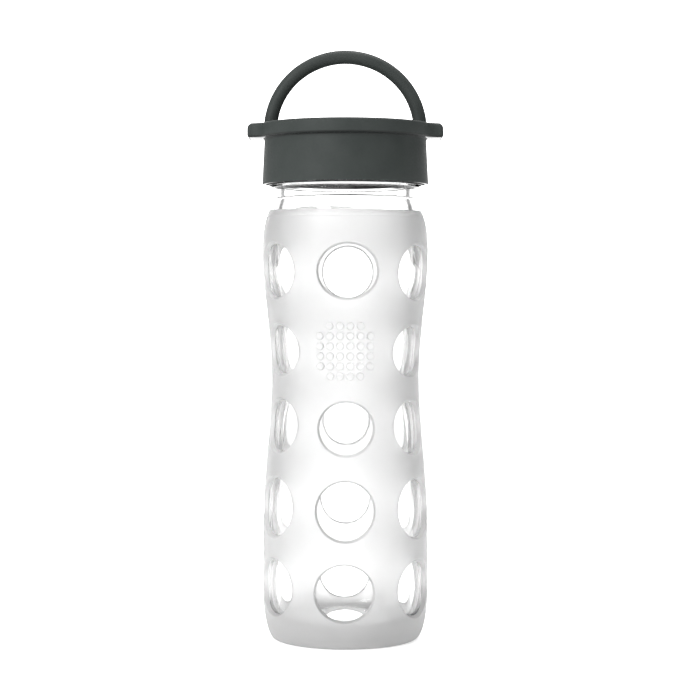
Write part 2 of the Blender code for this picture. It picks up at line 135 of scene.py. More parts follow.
# Thread
PITCH = 5 * MM
THREAD_Z = 209.4 * MM
GLASS_THREAD_TURNS = 1.75
GLASS_THREAD_HEIGHT = 1.3 * MM
INSERT_THREAD_TURNS = 1.5
INSERT_THREAD_HEIGHT = 1.3 * MM
THREAD_HALF_WIDTH = 1.25 * MM
THREAD_FADE = math.radians(30)

# Seal and insert
SEAL_INNER_RADIUS = 27.9 * MM
SEAL_ROUND = 0.35 * MM
INSERT_INNER_RADIUS = 33.35 * MM
INSERT_OUTER_RADIUS = 34.9 * MM
INSERT_LIP_INNER_RADIUS = 34.1 * MM
INSERT_LIP_Z = 207.4 * MM
INSERT_BOTTOM_Z = insert_low.z + 0.25 * MM
INSERT_LEAD = 0.6 * MM
INSERT_EDGE = 0.3 * MM

# Cap
SKIRT_TOP_RADIUS = 36.6 * MM
SKIRT_BOTTOM_RADIUS = 37.6 * MM
SKIRT_WALL = 1.9 * MM
SKIRT_FILLET = 0.6 * MM
SKIRT_EDGE = 0.25 * MM
SKIRT_CEILING_RADIUS = 35.2 * MM
FLANGE_RADIUS = shell_high.y
FLANGE_BOTTOM_Z = 226.5 * MM
FLANGE_ROUND = 1.3 * MM
FLANGE_LOW_ROUND = 1 * MM
EAR_DEPTH = 20 * MM
EAR_CORNER = 1.6 * MM
EAR_BLEND = 6 * MM
EAR_TOP_ROUND = 2.6 * MM
HUB_WALL = 2 * MM
HUB_ROUND = 1 * MM
GROOVE_CORNER = 2.2 * MM
GROOVE_BRIM = 0.3 * MM

# Loop
LOOP_SECTION = 6.2 * MM
LOOP_RADIUS = 33.9 * MM      # the loop's centre line is slightly wider than it is high
LOOP_HEIGHT = loop_high.z - pivot_z - LOOP_SECTION / 2
LOOP_STEPS = 96
LOOP_SIDES = 40
DOME_BENDS = [88, 75, 60, 45, 30, 15]    # degrees around each rounded end, from its tip up
PIN_RADIUS = 1.4 * MM
BORE_RADIUS = 1.7 * MM
BORE_END_X = 42 * MM


# ---------------------------------------------------------------- curves

def arc(center, radii, start, end, steps):
    """Points (r, z) along an elliptical arc, angles in degrees from +r towards +z."""
    points = []
    for i in range(steps + 1):
        angle = math.radians(start + (end - start) * i / steps)
        points.append((center[0] + radii[0] * math.cos(angle), center[1] + radii[1] * math.sin(angle)))
    return points


def line(start, end, steps):
    """Points from start to end, without start."""
    return [(start[0] + (end[0] - start[0]) * i / steps, start[1] + (end[1] - start[1]) * i / steps)
            for i in range(1, steps + 1)]


def body_radius(z):
    """Radius of the sleeved body's outside at a height."""
    if z < BELLY_LOW_Z:
        part = min((BELLY_LOW_Z - z) / BELLY_LOW_Z, 1)
        return BELLY_RADIUS - HEEL_INSET * (1 - math.sqrt(1 - part * part))
    if z < BELLY_HIGH_Z:
        return BELLY_RADIUS
    if z < WAIST_Z:
        part = (z - BELLY_HIGH_Z) / (WAIST_Z - BELLY_HIGH_Z)
        return BELLY_RADIUS + (WAIST_RADIUS - BELLY_RADIUS) * (1 - math.cos(math.pi * part)) / 2
    if z < SHOULDER_Z:
        part = (z - WAIST_Z) / (SHOULDER_Z - WAIST_Z)
        return WAIST_RADIUS + (SHOULDER_RADIUS - WAIST_RADIUS) * (1 - math.cos(math.pi * part)) / 2
    part = (z - SHOULDER_Z) / SHOULDER_RISE
    return SHOULDER_RADIUS - SHOULDER_INSET * (1 - math.sqrt(1 - part * part))


def body_curve(top_z, spacing):
    """Outer curve of the sleeved body from the floor up to top_z."""
    heel = arc((BELLY_RADIUS - HEEL_INSET, BELLY_LOW_Z), (HEEL_INSET, BELLY_LOW_Z), -90, 0, 20)
    count = round((top_z - BELLY_LOW_Z) / spacing)
    heights = [BELLY_LOW_Z + (top_z - BELLY_LOW_Z) * i / count for i in range(1, count + 1)]
    return heel + [(body_radius(z), z) for z in heights]


def offset(points, depth):
    """Move each point of a curve that runs upward inwards by depth(z)."""
    moved = []
    last = len(points) - 1
    for i, (r, z) in enumerate(points):
        before = Vector(points[max(i - 1, 0)])
        after = Vector(points[min(i + 1, last)])
        along = (after - before).normalized()
        distance = depth(z)
        moved.append((r - along.y * distance, z + along.x * distance))
    return moved


def sleeve_depth(z):
    """Thickness of the sleeve, which thins towards its top edge."""
    part = max(0, (z - THINNING_Z) / (SLEEVE_TOP_Z - THINNING_Z))
    return SLEEVE_WALL + (SLEEVE_TOP_WALL - SLEEVE_WALL) * part


# ---------------------------------------------------------------- mesh building

def finish_mesh(name, bm, sharp_angle=SHARP_ANGLE):
    bmesh.ops.recalc_face_normals(bm, faces=bm.faces)
    mesh = bpy.data.meshes.new(name)
    bm.to_mesh(mesh)
    bm.free()
    mesh.shade_smooth()
    mesh.set_sharp_from_angle(angle=math.radians(sharp_angle))
    obj = bpy.data.objects.new(name, mesh)
    bpy.context.scene.collection.objects.link(obj)
    return obj


def join_rings(bm, first, second):
    """Quads between two rings of the same count; a ring of one vertex gives a fan."""
    count = max(len(first), len(second))
    for i in range(count):
        j = (i + 1) % count
        low = [first[i % len(first)], first[j % len(first)]]
        high = [second[j % len(second)], second[i % len(second)]]
        bm.faces.new(list(dict.fromkeys(low + high)))


def lathe(name, profile, steps, closed, shift=None, sharp_angle=SHARP_ANGLE):
    """Turn (r, z) points about Z. shift(r, z, angle, index) gives a radial move for each point."""
    bm = bmesh.new()
    rings = []
    for index, (r, z) in enumerate(profile):
        if r < ON_AXIS:
            rings.append([bm.verts.new((0, 0, z))])
            continue
        ring = []
        for i in range(steps):
            angle = math.tau * i / steps
            radius = r + (shift(r, z, angle, index) if shift else 0)
            ring.append(bm.verts.new((radius * math.cos(angle), radius * math.sin(angle), z)))
        rings.append(ring)
    for first, second in zip(rings, rings[1:]):
        join_rings(bm, first, second)
    if closed:
        join_rings(bm, rings[-1], rings[0])
    return finish_mesh(name, bm, sharp_angle)


def thread_height(z, angle, start_z, turns, height):
    """How far a rounded helical ridge stands out at a place on the wall."""
    best = 0
    for turn in range(math.ceil(turns) + 1):
        run = angle + math.tau * turn
        if run > math.tau * turns:
            continue
        away = abs(z - start_z - PITCH * run / math.tau)
        fade = min(1, run / THREAD_FADE, (math.tau * turns - run) / THREAD_FADE)
        side = (THREAD_HALF_WIDTH - away) / (0.55 * THREAD_HALF_WIDTH)
        smooth = max(0, min(1, side))
        best = max(best, height * fade * smooth * smooth * (3 - 2 * smooth))
    return best


def cut(obj, cutter, operation="DIFFERENCE"):
    """Apply a Boolean with a helper object and delete the helper."""
    modifier = obj.modifiers.new("cut", "BOOLEAN")
    modifier.operation = operation
    modifier.solver = "EXACT"
    modifier.object = cutter
    depsgraph = bpy.context.evaluated_depsgraph_get()
    mesh = bpy.data.meshes.new_from_object(obj.evaluated_get(depsgraph))
    obj.modifiers.clear()
    obj.data = mesh
    mesh.set_sharp_from_angle(angle=math.radians(SHARP_ANGLE))
    bpy.data.objects.remove(cutter)


def add_cylinder(bm, radius, start, end, sides):
    start, end = Vector(start), Vector(end)
    direction = end - start
    turn = direction.to_track_quat("Z", "Y").to_matrix().to_4x4()
    place = Matrix.Translation((start + end) / 2) @ turn
    bmesh.ops.create_cone(bm, cap_ends=True, segments=sides, radius1=radius, radius2=radius,
                          depth=direction.length, matrix=place)


# ---------------------------------------------------------------- sleeve

WINDOW_EDGE_SHADE_AND_DENSITY = "window_edge_shade_and_density"   # 1 on the windows' edges and walls, 0 on the open faces; it drives painted shade in the silicone's colour and lets less light through
HALF_CELL = math.pi / COLUMNS
HALF_PITCH = CELL_PITCH / 2
FIRST_BORDER_Z = CELL_FIRST_Z - HALF_PITCH
LAST_BORDER_Z = CELL_FIRST_Z + (len(WINDOW_CENTERS) - 0.5) * CELL_PITCH


def sleeve_point(angle, z, depth):
    """A point at a depth under the sleeve's outer face."""
    step = 0.5 * MM
    slope = (body_radius(z + step) - body_radius(z - step)) / (2 * step)
    radius = body_radius(z) - depth * math.sqrt(1 + slope * slope)
    return Vector((radius * math.cos(angle), radius * math.sin(angle), z))


def cell_border(side_steps):
    """Points (u, v) from -1 to 1 around a square, starting at its lower right corner."""
    points = []
    for side in range(4):
        for i in range(side_steps):
            along = -1 + 2 * i / side_steps
            points.append([(1, along), (-along, 1), (-1, -along), (along, -1)][side])
    return points


def window_place(angle, z):
    """How far a window's middle turns from its cell's middle, and its height, both with the lean."""
    x = BELLY_RADIUS * math.cos(angle)
    y = BELLY_RADIUS * math.sin(angle)
    turned = math.atan2(y, x + (z - LEAN_CENTER_Z) * WINDOW_LEAN)
    return math.remainder(turned - angle, math.tau), z - x * WINDOW_LEAN


def window_cell(bm, cell_angle, row):
    """One cell of the sleeve: outer face, rounded window edge, window wall and inner face."""
    cell_z = CELL_FIRST_Z + row * CELL_PITCH
    window_turn, window_z = window_place(cell_angle, WINDOW_CENTERS[row])
    border = cell_border(CELL_SIDE)
    count = len(border)
    quarter = math.pi / 2
    # Marks the window's edge and wall, where the silicone's colour gets painted shade.
    layer = bm.verts.layers.float[WINDOW_EDGE_SHADE_AND_DENSITY]

    def ring(grow, depth, spread, edge=1):
        verts = []
        for i, (u, v) in enumerate(border):
            turn = math.tau * i / count - math.pi / 4
            side = (WINDOW_WIDTHS[row] / 2 + grow) * math.cos(turn)
            z = window_z + (WINDOW_HEIGHTS[row] / 2 + grow) * math.sin(turn)
            hole_angle = window_turn + math.asin(side / (body_radius(z) - depth))
            angle = cell_angle + hole_angle + (u * HALF_CELL - hole_angle) * spread
            z += (cell_z + v * HALF_PITCH - z) * spread
            vert = bm.verts.new(sleeve_point(angle, z, depth))
            vert[layer] = edge
            verts.append(vert)
        return verts

    spreads = [1, 0.75, 0.5, 0.25, 0.08, 0]
    rings = [ring(WINDOW_EDGE, 0, s, edge=0) for s in spreads]
    for i in range(1, 4):
        bend = quarter * i / 3
        rings.append(ring(WINDOW_EDGE * (1 - math.sin(bend)), WINDOW_EDGE * (1 - math.cos(bend)), 0))
    inner_edge = WINDOW_EDGE * 0.5
    rings.append(ring(-WINDOW_DRAFT, SLEEVE_WALL - inner_edge, 0))
    rings.append(ring(inner_edge * 0.3 - WINDOW_DRAFT, SLEEVE_WALL - inner_edge * 0.3, 0))
    rings += [ring(inner_edge - WINDOW_DRAFT, SLEEVE_WALL, s, edge=0) for s in reversed(spreads)]
    for first, second in zip(rings, rings[1:]):
        join_rings(bm, first, second)


def plain_grid(bm, center_angle, center_z, half_u, half_v, steps, depth):
    """A plain patch of the sleeve, half_u wide each way in angle and half_v in height."""
    rows = []
    for j in range(steps + 1):
        z = center_z + half_v * (2 * j / steps - 1)
        rows.append([bm.verts.new(sleeve_point(center_angle + half_u * (2 * i / steps - 1), z, depth))
                     for i in range(steps + 1)])
    for low, high in zip(rows, rows[1:]):
        for i in range(steps):
            bm.faces.new((low[i], low[i + 1], high[i + 1], high[i]))


def dot_patch(bm, center_angle, center_z, half_u, half_v, steps):
    """A small square patch with a low round dot in its middle and a faint dip around it."""
    border = cell_border(steps)
    count = len(border)
    rings = []
    for share, rise, spread in DOT_RINGS:
        verts = []
        for i, (u, v) in enumerate(border):
            turn = math.tau * i / count - math.pi / 4
            hole_u = share * DOT_RADIUS * math.cos(turn) / body_radius(center_z)
            hole_v = share * DOT_RADIUS * math.sin(turn)
            angle = center_angle + hole_u + (u * half_u - hole_u) * spread
            z = center_z + hole_v + (v * half_v - hole_v) * spread
            verts.append(bm.verts.new(sleeve_point(angle, z, -rise * DOT_HEIGHT)))
        rings.append(verts)
    rings.append([bm.verts.new(sleeve_point(center_angle, center_z, -DOT_HEIGHT))])
    for first, second in zip(rings, rings[1:]):
        join_rings(bm, first, second)


def dotted_cell(bm, center_angle, center_z):
    """The front cell without a window: a round field of dots on an even grid."""
    steps = CELL_SIDE // DOTS_ACROSS
    half_u, half_v = HALF_CELL / DOTS_ACROSS, HALF_PITCH / DOTS_ACROSS
    for i in range(DOTS_ACROSS):
        for j in range(DOTS_ACROSS):
            u = half_u * (2 * i + 1 - DOTS_ACROSS)
            v = half_v * (2 * j + 1 - DOTS_ACROSS)
            distance = math.hypot(u * body_radius(center_z), v)
            if distance < DOT_FIELD_RADIUS:
                dot_patch(bm, center_angle + u, center_z + v, half_u, half_v, steps)
            else:
                plain_grid(bm, center_angle + u, center_z + v, half_u, half_v, steps, 0)
    plain_grid(bm, center_angle, center_z, HALF_CELL, HALF_PITCH, CELL_SIDE, SLEEVE_WALL)


def sleeve_band(bm, profile, dip=None):
    """A turned strip of the sleeve whose vertices meet the cells' borders; dip(z, angle) lowers points."""
    steps = COLUMNS * CELL_SIDE
    rings = []
    for r, z in profile:
        ring = []
        for i in range(steps):
            angle = FRONT_ANGLE - HALF_CELL + math.tau * i / steps
            drop = dip(z, angle) if dip else 0
            ring.append(bm.verts.new((r * math.cos(angle), r * math.sin(angle), z - drop)))
        rings.append(ring)
    for first, second in zip(rings, rings[1:]):
        join_rings(bm, first, second)


def top_dip(z, angle):
    """How far the sleeve's top edge hangs below its highest place, fading out downwards."""
    start_z = LAST_BORDER_Z + 1 * MM
    share = max(0, (z - start_z) / (SLEEVE_TOP_Z - start_z))
    return share * (TOP_DIP * (1 - math.sin(angle)) + TOP_LEAN * (1 + math.cos(angle)))


def edge_line(z, angle):
    """Depth of the two faint moulded lines that run under the top edge."""
    lines = [(SLEEVE_TOP_Z - 0.5 * MM, 0.35 * MM), (SLEEVE_TOP_Z - 2.6 * MM, 0.3 * MM)]
    return sum(LINE_DEPTH * math.exp(-((z - line_z) / width) ** 2) for line_z, width in lines)


def border_point(z, depth):
    point = sleeve_point(0, z, depth)
    return (point.x, z)


def make_sleeve():
    bm = bmesh.new()
    bm.verts.layers.float.new(WINDOW_EDGE_SHADE_AND_DENSITY)
    for row in range(len(WINDOW_CENTERS)):
        for column in range(COLUMNS):
            angle = FRONT_ANGLE + column * math.tau / COLUMNS
            if row == DOT_ROW and column == 0:
                dotted_cell(bm, angle, CELL_FIRST_Z + row * CELL_PITCH)
            else:
                window_cell(bm, angle, row)
    curve = body_curve(SLEEVE_TOP_Z, 0.25 * MM)
    margin = 0.2 * MM
    above = [(r - edge_line(z, 0), z) for r, z in curve if z > LAST_BORDER_Z + margin]
    inner_above = [p for p in offset(curve, sleeve_depth)[::4] if p[1] > LAST_BORDER_Z + margin]
    lip_center = ((above[-1][0] + inner_above[-1][0]) / 2, SLEEVE_TOP_Z - 0.2 * MM)
    lip_radii = ((above[-1][0] - inner_above[-1][0]) / 2, SLEEVE_LIP + 0.2 * MM)
    lip = arc(lip_center, lip_radii, 15, 165, 8)
    top = [border_point(LAST_BORDER_Z, 0)] + above + lip + list(reversed(inner_above))
    sleeve_band(bm, top + [border_point(LAST_BORDER_Z, SLEEVE_WALL)], top_dip)
    curve = body_curve(SLEEVE_TOP_Z, 1 * MM)
    below = [p for p in curve if p[1] < FIRST_BORDER_Z - margin]
    inner_below = [p for p in offset(curve, sleeve_depth) if p[1] < FIRST_BORDER_Z - margin]
    hole_center = (SLEEVE_HOLE_RADIUS + SLEEVE_WALL / 2, SLEEVE_WALL / 2)
    hole = arc(hole_center, (SLEEVE_WALL / 2, SLEEVE_WALL / 2), 270, 90, 8)
    bottom = [border_point(FIRST_BORDER_Z, 0)] + list(reversed(below)) + hole + inner_below
    sleeve_band(bm, bottom + [border_point(FIRST_BORDER_Z, SLEEVE_WALL)])
    bmesh.ops.remove_doubles(bm, verts=bm.verts, dist=MERGE_DISTANCE)
    return finish_mesh("sleeve_skin", bm, sharp_angle=50)


# ---------------------------------------------------------------- glass

def glass_profile():
    """Outer profile from the middle of the base to the rim, then the inside back down."""
    curve = body_curve(SLEEVE_TOP_Z, 2 * MM)
    body = offset(curve, lambda z: sleeve_depth(z) + FIT_GAP)
    body = [p for p in body if p[1] > STAND_Z + 0.15 * MM]
    crown = [(0, STAND_Z + PUSH_UP)] + arc((0, STAND_Z), (STAND_INNER_RADIUS, PUSH_UP), 90, 4, 16)[1:]
    foot = arc((STAND_INNER_RADIUS + 0.6 * MM, STAND_Z + 0.3 * MM), (0.6 * MM, 0.3 * MM), 180, 270, 4)
    flare = []
    for i in range(9):
        part = i / 8
        radius = NECK_RADIUS + (FLARE_RADIUS - NECK_RADIUS) * (1 - part) ** 1.3
        flare.append((radius, FLARE_Z + (NECK_Z - FLARE_Z) * part))
    bead_low = (BEAD_RADIUS - BEAD_ROUND, NECK_Z + 2 * BEAD_ROUND)
    bead = arc(bead_low, (BEAD_ROUND, BEAD_ROUND), -90, 0, 4)
    fillet_center = (BEAD_RADIUS + RING_FILLET, RING_LOW_Z - RING_FILLET)
    bead += line(bead[-1], (BEAD_RADIUS, RING_LOW_Z - RING_FILLET), 6)
    bead += arc(fillet_center, (RING_FILLET, RING_FILLET), 180, 95, 5)[1:]
    tip = (RING_RADIUS - RING_ROUND, RING_LOW_Z + 1.5 * RING_ROUND)
    ring = arc(tip, (RING_ROUND, RING_ROUND), -80, 30, 5)
    ring += line(ring[-1], (RING_TOP_RADIUS, RING_SLOPE_Z), 4)
    ring += line(ring[-1], (RING_TOP_RADIUS, RING_HIGH_Z - RING_ROUND), 3)
    wall_low = (FINISH_RADIUS, RING_HIGH_Z + 0.3 * MM)
    wall_high = (FINISH_RADIUS, glass_high.z - RIM_ROUND)
    thread_rows = line(wall_low, wall_high, 56)
    rim = arc((FINISH_RADIUS - RIM_ROUND, wall_high[1]), (RIM_ROUND, RIM_ROUND), 10, 90, 8)
    outside = crown + foot + body + flare + bead + ring + [wall_low] + thread_rows + rim

    wall = offset(curve, lambda z: sleeve_depth(z) + FIT_GAP + GLASS_WALL)
    wall = [p for p in wall if p[1] > FLOOR_Z + 8 * MM]
    mouth = arc((MOUTH_RADIUS + RIM_ROUND, wall_high[1]), (RIM_ROUND, RIM_ROUND), 90, 180, 8)
    neck = line(mouth[-1], (MOUTH_RADIUS, NECK_Z), 12)
    for i in range(1, 7):
        part = i / 6
        neck.append((MOUTH_RADIUS + INNER_FLARE * part ** 1.6, NECK_Z + (FLARE_Z - NECK_Z) * part))
    heel_radius = wall[0][0] - FLOOR_RADIUS
    heel = arc((FLOOR_RADIUS, FLOOR_Z + heel_radius), (heel_radius, heel_radius), 0, -90, 12)
    crest = arc((0, FLOOR_Z), (FLOOR_RADIUS, FLOOR_CREST), 0, 90, 20)
    inside = mouth[1:] + neck + list(reversed(wall)) + heel + crest[1:-1] + [(0, FLOOR_Z + FLOOR_CREST)]
    return outside, inside


def make_glass():
    outside, inside = glass_profile()

    def shift(r, z, angle, index):
        if index >= len(outside):
            around = Vector((math.cos(angle), math.sin(angle), 0))
            broad = noise.noise(around * 1.3 + Vector((0, 0, z * 8)))
            fine = noise.noise(around * 5 + Vector((0, 0, z * 5)))
            return WAVE_BROAD * broad + WAVE_FINE * fine
        if z > RING_HIGH_Z and r > FINISH_RADIUS - 0.1 * MM:
            return thread_height(z, angle, THREAD_Z, GLASS_THREAD_TURNS, GLASS_THREAD_HEIGHT)
        return 0

    return lathe("bottle_glass", outside + inside, GLASS_STEPS, closed=False, shift=shift, sharp_angle=60)


# ---------------------------------------------------------------- seal and insert

def make_seal():
    inner, outer = SEAL_INNER_RADIUS, seal_high.x
    edge = SEAL_ROUND
    low, high = seal_low.z, seal_high.z
    profile = (arc((outer - edge, low + edge), (edge, edge), -90, 0, 4)
               + arc((outer - edge, high - edge), (edge, edge), 0, 90, 4)
               + arc((inner + edge, high - edge), (edge, edge), 90, 180, 4)
               + arc((inner + edge, low + edge), (edge, edge), 180, 270, 4))
    return lathe("seal_gasket", profile, 144, closed=True)


def make_insert():
    ceiling = seal_high.z + FIT_GAP
    inner, outer = INSERT_INNER_RADIUS, INSERT_OUTER_RADIUS
    lip_inner, lip_outer, lip_z = INSERT_LIP_INNER_RADIUS, insert_high.x, INSERT_LIP_Z
    bottom, top = INSERT_BOTTOM_Z, insert_high.z
    lead, edge = INSERT_LEAD, INSERT_EDGE
    wall_top = (inner, ceiling - 0.5 * MM)
    rows = line(wall_top, (inner, lip_z + lead), 64)
    profile = [(0, ceiling), (inner * 0.5, ceiling), (inner - 0.5 * MM, ceiling), wall_top] + rows
    profile += [(lip_inner, lip_z - lead), (lip_inner, bottom + edge), (lip_inner + edge, bottom)]
    profile += [(lip_outer - edge, bottom), (lip_outer, bottom + edge), (lip_outer, lip_z)]
    profile += [(outer, lip_z + 2 * lead)] + line((outer, lip_z + 2 * lead), (outer, top - edge), 6)
    profile += [(outer - edge, top), (inner * 0.5, top), (0, top)]
    first, last = 4, 4 + len(rows)

    def shift(r, z, angle, index):
        if first <= index < last:
            return -thread_height(z, angle, THREAD_Z + PITCH / 2, INSERT_THREAD_TURNS, INSERT_THREAD_HEIGHT)
        return 0

    return lathe("cap_insert", profile, 168, closed=False, shift=shift)


# ---------------------------------------------------------------- cap shell

def ear_outline():
    """Outline of the flange with its two ears, as points (x, y), counter-clockwise from +X."""
    tip = shell_high.x
    half = EAR_DEPTH / 2
    meet_y = half + EAR_BLEND
    center_x = math.sqrt((FLANGE_RADIUS + EAR_BLEND) ** 2 - meet_y ** 2)
    meet_angle = math.atan2(meet_y, center_x)
    quarter = []
    quarter += [(tip, (half - EAR_CORNER) * i / 6) for i in range(6)]
    quarter += arc((tip - EAR_CORNER, half - EAR_CORNER), (EAR_CORNER, EAR_CORNER), 0, 90, 8)
    side_end = (center_x, half)
    quarter += line((tip - EAR_CORNER, half), side_end, 5)[:-1]
    turn = math.degrees(meet_angle)
    quarter += arc((center_x, meet_y), (EAR_BLEND, EAR_BLEND), 270, 180 + turn, 8)
    steps = 40
    for i in range(1, steps + 1):
        angle = meet_angle + (math.pi / 2 - meet_angle) * i / steps
        quarter.append((FLANGE_RADIUS * math.cos(angle), FLANGE_RADIUS * math.sin(angle)))
    mirrored = [(-x, y) for x, y in reversed(quarter[:-1])]
    half_turn = quarter + mirrored
    back = [(-x, -y) for x, y in half_turn[1:]]
    return half_turn + back[:-1]


def inset_outline(points, distance):
    """Move a closed outline inwards by a distance that may change from point to point."""
    moved = []
    count = len(points)
    for i, (x, y) in enumerate(points):
        before = Vector(points[i - 1])
        after = Vector(points[(i + 1) % count])
        along = (after - before).normalized()
        gap = distance(x, y)
        moved.append((x - along.y * gap, y + along.x * gap))
    return moved


def round_size(x, y):
    """Edge rounding: wider at the ears' tips than around the flange."""
    reach = (abs(x) - FLANGE_RADIUS) / (shell_high.x - FLANGE_RADIUS)
    reach = max(0, min(1, reach))
    return FLANGE_ROUND + (EAR_TOP_ROUND - FLANGE_ROUND) * reach


def make_shell():
    outline = ear_outline()
    top, bottom = shell_high.z, shell_low.z
    ceiling = insert_high.z + FIT_GAP
    reach = LOOP_RADIUS + LOOP_SECTION / 2
    groove_inner = LOOP_HEIGHT - LOOP_SECTION / 2 - FIT_GAP
    groove_outer = reach + 2 * FIT_GAP
    floor = pivot_z - LOOP_SECTION / 2 - FIT_GAP
    corner = GROOVE_CORNER
    bm = bmesh.new()
    rings = []

    def round_ring(r, z):
        if r < ON_AXIS:
            rings.append([bm.verts.new((0, 0, z))])
            return
        ring = []
        for x, y in outline:
            size = math.hypot(x, y)
            ring.append(bm.verts.new((r * x / size, r * y / size, z)))
        rings.append(ring)

    def edge_ring(share_in, share_down, from_top, size):
        gap_points = inset_outline(outline, lambda x, y: size(x, y) * share_in)
        ring = []
        for (x, y), (ox, oy) in zip(gap_points, outline):
            drop = size(ox, oy) * share_down
            ring.append(bm.verts.new((x, y, top - drop if from_top else FLANGE_BOTTOM_Z + drop)))
        rings.append(ring)

    for r, z in [(0, top), (10 * MM, top), (20 * MM, top)]:
        round_ring(r, z)
    for r, z in arc((groove_inner - HUB_ROUND, top - HUB_ROUND), (HUB_ROUND, HUB_ROUND), 90, 0, 5):
        round_ring(r, z)
    for r, z in arc((groove_inner + corner, floor + corner), (corner, corner), 180, 270, 6):
        round_ring(r, z)
    for r, z in arc((groove_outer - corner, floor + corner), (corner, corner), 270, 360, 6):
        round_ring(r, z)
    brim = GROOVE_BRIM
    for r, z in arc((groove_outer + brim, top - brim), (brim, brim), 180, 90, 3):
        round_ring(r, z)
    for i in range(7):
        bend = math.pi / 2 * i / 6
        edge_ring(1 - math.sin(bend), 1 - math.cos(bend), True, round_size)
    for i in range(4):
        bend = math.pi / 2 * i / 3
        edge_ring(1 - math.cos(bend), 1 - math.sin(bend), False, lambda x, y: FLANGE_LOW_ROUND)
    fillet = SKIRT_FILLET
    for r, z in arc((SKIRT_TOP_RADIUS + fillet, FLANGE_BOTTOM_Z - fillet), (fillet, fillet), 90, 180, 4):
        round_ring(r, z)
    edge = SKIRT_EDGE
    for r, z in line((SKIRT_TOP_RADIUS, FLANGE_BOTTOM_Z - fillet), (SKIRT_BOTTOM_RADIUS, bottom + edge), 6):
        round_ring(r, z)
    for r, z in arc((SKIRT_BOTTOM_RADIUS - edge, bottom + edge), (edge, edge), 0, -90, 3)[1:]:
        round_ring(r, z)
    inner = SKIRT_BOTTOM_RADIUS - SKIRT_WALL
    wall = SKIRT_CEILING_RADIUS
    for r, z in [(inner + edge, bottom), (inner, bottom + edge), (wall, ceiling - 4 * MM), (wall, ceiling)]:
        round_ring(r, z)
    hollow = groove_inner - HUB_WALL
    for r, z in [(hollow, ceiling), (hollow, top - HUB_WALL), (0, top - HUB_WALL)]:
        round_ring(r, z)
    for first, second in zip(rings, rings[1:]):
        join_rings(bm, first, second)
    shell = finish_mesh("cap_outer", bm)

    bores = bmesh.new()
    for side in (-1, 1):
        start = (side * (groove_outer - 1 * MM), 0, pivot_z)
        add_cylinder(bores, BORE_RADIUS, start, (side * BORE_END_X, 0, pivot_z), 32)
    cut(shell, finish_mesh("bore_cutter", bores))
    return shell


# ---------------------------------------------------------------- carry loop

def end_dome(x, radius, lean):
    """The loop's rounded end, from its tip up to the pivot: each ring's centre, lean and radius."""
    rings = []
    for degrees in DOME_BENDS:
        bend = math.radians(degrees)
        rings.append((Vector((x, 0, -radius * math.sin(bend))), lean, radius * math.cos(bend)))
    return rings


def make_loop():
    radius = LOOP_SECTION / 2
    stations = end_dome(LOOP_RADIUS, radius, 0)
    for i in range(LOOP_STEPS + 1):
        angle = math.pi * i / LOOP_STEPS
        center = Vector((LOOP_RADIUS * math.cos(angle), 0, LOOP_HEIGHT * math.sin(angle)))
        lean = math.atan2(LOOP_RADIUS * math.sin(angle), LOOP_HEIGHT * math.cos(angle))
        stations.append((center, lean, radius))
    stations += reversed(end_dome(-LOOP_RADIUS, radius, math.pi))
    bm = bmesh.new()
    rings = []
    for center, angle, size in stations:
        out = Vector((math.cos(angle), 0, math.sin(angle)))
        ring = []
        for i in range(LOOP_SIDES):
            turn = math.tau * i / LOOP_SIDES
            point = center + out * (size * math.cos(turn)) + Vector((0, size * math.sin(turn), 0))
            ring.append(bm.verts.new(point + Vector((0, 0, pivot_z))))
        rings.append(ring)
    for first, second in zip(rings, rings[1:]):
        join_rings(bm, first, second)
    bm.faces.new(rings[0])
    bm.faces.new(rings[-1])
    loop = finish_mesh("handle_loop", bm)
    pins = bmesh.new()
    for side in (-1, 1):
        add_cylinder(pins, PIN_RADIUS, (side * LOOP_RADIUS, 0, pivot_z), (side * loop_high.x, 0, pivot_z), 24)
    cut(loop, finish_mesh("pins", pins), "UNION")
    return loop


# ---------------------------------------------------------------- materials

class Nodes:
    """Short ways to add shader nodes to one material."""

    def __init__(self, name):
        self.material = bpy.data.materials.new(name)
        self.material.use_nodes = True
        self.tree = self.material.node_tree
        self.shader = self.tree.nodes["Principled BSDF"]
        self.coords = self.tree.nodes.new("ShaderNodeTexCoord").outputs["Object"]

    def add(self, kind, inputs=(), **settings):
        node = self.tree.nodes.new("ShaderNode" + kind)
        for key, value in settings.items():
            setattr(node, key, value)
        for key, value in dict(inputs).items():
            if isinstance(value, bpy.types.NodeSocket):
                self.tree.links.new(value, node.inputs[key])
            else:
                node.inputs[key].default_value = value
        return node

    def noise(self, scale, detail=3, roughness=0.5, stretch=(1, 1, 1)):
        """Noise value from 0 to 1; scale is in cycles per metre."""
        mapping = self.add("Mapping", {"Vector": self.coords, "Scale": stretch})
        node = self.add("TexNoise", {"Vector": mapping.outputs[0], "Scale": scale, "Detail": detail,
                                     "Roughness": roughness})
        return node.outputs["Fac"]

    def between(self, value, low, high, value_low=0.3, value_high=0.7):
        """Map a value that runs from value_low to value_high onto low to high."""
        node = self.add("MapRange", {"Value": value, "To Min": low, "To Max": high})
        node.inputs["From Min"].default_value = value_low
        node.inputs["From Max"].default_value = value_high
        return node.outputs[0]

    def blend(self, value, low, high):
        ramp = self.add("ValToRGB", {"Fac": value})
        ramp.color_ramp.elements[0].position = 0.3
        ramp.color_ramp.elements[0].color = (*low, 1)
        ramp.color_ramp.elements[1].position = 0.7
        ramp.color_ramp.elements[1].color = (*high, 1)
        return ramp.outputs[0]

    def combine(self, operation, first, second):
        return self.add("Math", {0: first, 1: second}, operation=operation).outputs[0]

    def bump(self, value, height, strength):
        node = self.add("Bump", {"Height": value, "Distance": height, "Strength": strength})
        return node.outputs[0]

    def set(self, name, value):
        if isinstance(value, bpy.types.NodeSocket):
            self.tree.links.new(value, self.shader.inputs[name])
        else:
            self.shader.inputs[name].default_value = value


